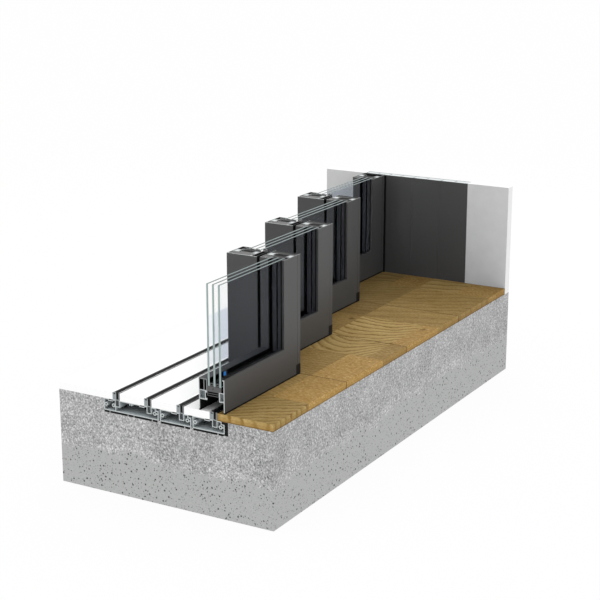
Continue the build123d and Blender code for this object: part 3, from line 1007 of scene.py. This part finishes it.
def sash_section_fillers():
    """Slate plates in the chambers of the cut sash, behind the section."""
    low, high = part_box("sash_1_bottom_rail")
    bottom, top = low.z + channel_reach + half_wall, low.z + chamber_reach - half_wall
    near = near_cut + section_filler
    mesh = bmesh.new()
    for left, right in ((low.x, low.x + chamber_half), (high.x - inner_half, high.x)):
        add_box(mesh, (left + half_wall, near, bottom), (right - half_wall, near + filler_depth, top))
    new_piece("sash_1_section_fillers", mesh, slate, "frame")


def rail_leg_fillers():
    """Grey plates in the hollow legs of the rails, behind the section."""
    inside = rail_wall / 2
    mesh = bmesh.new()
    for low, high in solid_boxes("running_rails"):
        start = (low.x + inside, near_cut + touch, plinth_high.z + inside)
        add_box(mesh, start, (low.x + rail_leg - inside, near_cut + filler_depth, high.z - leg_hole))
    new_piece("rail_leg_fillers", mesh, leg_grey, "frame")


def pad_gap_fillers():
    """Concrete in the narrow gaps between the sill pads, behind the section."""
    pads = across_tracks(solid_boxes("sill_pads"))
    mesh = bmesh.new()
    for (first_low, first_high), (next_low, _) in zip(pads, pads[1:]):
        if touch < next_low.x - first_high.x < pad_gap_most:
            start = (first_high.x, near_cut + touch, first_low.z)
            add_box(mesh, start, (next_low.x, near_cut + filler_depth, first_high.z))
    new_piece("pad_gap_fillers", mesh, concrete_finish, "frame")


def closing_gaskets():
    """Black gaskets on the jamb, in the gap that the last sash closes, and a lip beside them."""
    sash_low, sash_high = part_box(f"sash_{sash_count}_stiles")
    seal_low, seal_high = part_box("jamb_seal")
    near = sash_high.y + gasket_clearance

    def near_and_upright(edge):
        first, second = (vert.co for vert in edge.verts)
        return max(first.y, second.y) < near + touch and abs(first.z - second.z) > touch

    mesh = bmesh.new()
    for right in (sash_low.x + gasket_width + gasket_setback, sash_high.x):
        verts = add_box(mesh, (right - gasket_width, near, seal_low.z), (right, jamb_low.y, seal_high.z))
        upright = [edge for edge in edges_of(verts) if near_and_upright(edge)]
        bmesh.ops.bevel(mesh, geom=upright, offset=gasket_round, segments=3, affect="EDGES", profile=0.5)
    lip_low = (sash_high.x, jamb_low.y - gasket_lip_depth, seal_low.z)
    add_box(mesh, lip_low, (sash_high.x + gasket_lip, jamb_low.y, seal_high.z))
    new_piece("jamb_gaskets", mesh, rubber, "frame")


def top_filler(mesh, low, high):
    """A plate across hollow cells, just below the level cut."""
    top = top_cut - filler_drop
    add_box(mesh, (low[0], low[1], top - filler_depth), (high[0], high[1], top))


def stile_fillers(number):
    """Light plates in the stiles' chambers and grey ones in the far stile's bead, just below the cut."""
    sash = f"sash_{number}"
    low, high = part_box(f"{sash}_stiles")
    chambers = ((low.x, low.x + chamber_half), (high.x - inner_half, high.x))
    beads = ((low.x, low.x + outer_half),)
    edges = [(high.y, -1)]
    if number > 1:
        edges.append((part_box(f"{sash}_interlock_cover")[0].y, 1))
    zones = (
        ("chamber", chambers, edges, channel_reach, chamber_reach, bright_chamber),
        ("bead", beads, edges[:1], chamber_reach, outer_reach, cell_grey),
    )
    for zone, cells, stiles, first, last, finish in zones:
        mesh = bmesh.new()
        for edge, way in stiles:
            near, far = sorted((edge + way * (first + half_wall), edge + way * (last - half_wall)))
            for left, right in cells:
                top_filler(mesh, (left + half_wall, near), (right - half_wall, far))
        new_piece(f"{sash}_{zone}_fillers", mesh, finish, sash_body(number))


def channel_filler(number):
    """Dark plate in the channel of the far stile, up to the strip in its edge."""
    sash = f"sash_{number}"
    low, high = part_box(f"{sash}_stiles")
    near, far = high.y - channel_reach - half_wall, high.y - edge_strip_end
    mesh = bmesh.new()
    top_filler(mesh, (low.x + half_wall, near), (high.x - half_wall, far))
    new_piece(f"{sash}_channel_filler", mesh, channel_grey, sash_body(number))


def cover_filler(number):
    """Grey plates behind the interlock cover and between the near stile's chambers."""
    sash = f"sash_{number}"
    low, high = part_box(f"{sash}_stiles")
    cover_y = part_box(f"{sash}_interlock_cover")[0].y
    near, far = cover_y + leaf_wall, cover_y + channel_reach + half_wall
    left, right = low.x + chamber_half + half_wall, high.x - inner_half - half_wall
    mesh = bmesh.new()
    top_filler(mesh, (low.x + half_wall, near), (high.x - half_wall, far))
    top_filler(mesh, (left, far), (right, cover_y + bar_filler_reach))
    new_piece(f"{sash}_cover_filler", mesh, cell_grey, sash_body(number))


def jamb_profiles():
    """Boxes of the jamb's profiles, base and extensions."""
    return solid_boxes("jamb_base") + solid_boxes("jamb_extensions")


def jamb_fillers():
    """Light plates in the jamb's cells."""
    inset = Vector((half_wall, half_wall, 0))
    mesh = bmesh.new()
    for low, high in jamb_profiles():
        top_filler(mesh, low + inset, high - inset)
    new_piece("jamb_fillers", mesh, bright_chamber, "frame")


def jamb_joints():
    """Black strips in the joints between the jamb's profiles."""
    profiles = across_tracks(jamb_profiles())
    mesh = bmesh.new()
    for (first_low, first_high), (next_low, _) in zip(profiles, profiles[1:]):
        if next_low.x - first_high.x > touch:
            start = (first_high.x, first_low.y + leaf_wall, first_low.z)
            add_box(mesh, start, (next_low.x, first_high.y - leaf_wall, first_high.z - filler_drop))
    new_piece("jamb_joints", mesh, rubber, "frame")


for number in sash_numbers:
    dress_sash(number)
    brush_seals(number)
    stile_fillers(number)
    if number < sash_count:
        channel_filler(number)
    if number > 1:
        cover_filler(number)
    if number < sash_count:
        corner_face(number)
dress_fixed()
jamb_fillers()
jamb_joints()
floor_staves()
field_joints()
closing_gaskets()
sash_section_fillers()
rail_leg_fillers()
pad_gap_fillers()


def seen_directly(tree):
    """1 for rays from the camera, a reflection or a pane, 0 for light that falls on the part."""
    path = add(tree, "ShaderNodeLightPath")
    rays = ("Is Camera Ray", "Is Glossy Ray", "Is Transmission Ray")
    return any_of(tree, *(path.outputs[ray] for ray in rays))


def backdrop_colour(tree):
    """White, lifted behind panes by what each of them takes away."""
    path = add(tree, "ShaderNodeLightPath")
    behind = remap(tree, path.outputs["Transmission Depth"], 0.0, pane_faces)
    return mix(tree, all_of(tree, behind, seen_directly(tree)), white, lifted_white)


def stage_floor():
    """White floor that takes a faint shadow and lets the light from below through."""
    mesh = bmesh.new()
    bmesh.ops.create_grid(mesh, x_segments=1, y_segments=1, size=floor_size / 2)
    data = bpy.data.meshes.new("studio_floor")
    mesh.to_mesh(data)
    mesh.free()
    made, tree, shader = material("studio_floor")
    plain(shader, Base_Color=(0.86, 0.86, 0.86, 1), Roughness=0.95, Specular_IOR_Level=0.0)
    glow = add(tree, "ShaderNodeEmission", {"Color": backdrop_colour(tree), "Strength": 1.0})
    share = math_node(tree, "MULTIPLY", seen_directly(tree), floor_glow)
    shown = mix_shaders(tree, share, shader.outputs["BSDF"], glow.outputs["Emission"])
    open_way = add(tree, "ShaderNodeBsdfTransparent")
    show(tree, mix_shaders(tree, falling_light(tree), shown, open_way.outputs["BSDF"]))
    data.materials.append(made)
    floor = bpy.data.objects.new("studio_floor", data)
    floor.location.z = -touch
    bpy.context.scene.collection.objects.link(floor)


def studio_world():
    """White surroundings, dimmer as a light than to the eye."""
    world = bpy.data.worlds.new("studio")
    bpy.context.scene.world = world
    world.use_nodes = True
    tree = world.node_tree
    background = tree.nodes["Background"]
    tree.links.new(backdrop_colour(tree), background.inputs["Color"])
    level = remap(tree, seen_directly(tree), 0.0, 1.0, world_level, 1.0)
    tree.links.new(level, background.inputs["Strength"])


def softbox(name, location, target, size, power):
    """A square area lamp aimed at a point."""
    lamp = bpy.data.lights.new(name, "AREA")
    lamp.energy = power
    lamp.size = size
    holder = bpy.data.objects.new(name, lamp)
    holder.location = location
    aim = Vector(target) - Vector(location)
    holder.rotation_euler = aim.to_track_quat("-Z", "Y").to_euler()
    bpy.context.scene.collection.objects.link(holder)


def studio_camera():
    """Camera at the photograph's place."""
    lens = bpy.data.cameras.new("camera")
    lens.lens = camera_lens
    lens.sensor_width = camera_sensor
    camera = bpy.data.objects.new("camera", lens)
    camera.location = camera_place
    camera.rotation_euler = (camera_tilt, 0, camera_turn)
    bpy.context.scene.collection.objects.link(camera)
    bpy.context.scene.camera = camera


stage_floor()
studio_world()
softbox("overhead", *overhead_lamp)
softbox("back", *back_lamp)
studio_camera()
bpy.context.scene.view_settings.view_transform = "Standard"
bpy.context.scene.cycles.max_bounces = path_bounces
bpy.context.scene.cycles.diffuse_bounces = 0
bpy.context.scene.cycles.transmission_bounces = path_bounces
bpy.context.scene.cycles.transparent_max_bounces = clear_passes
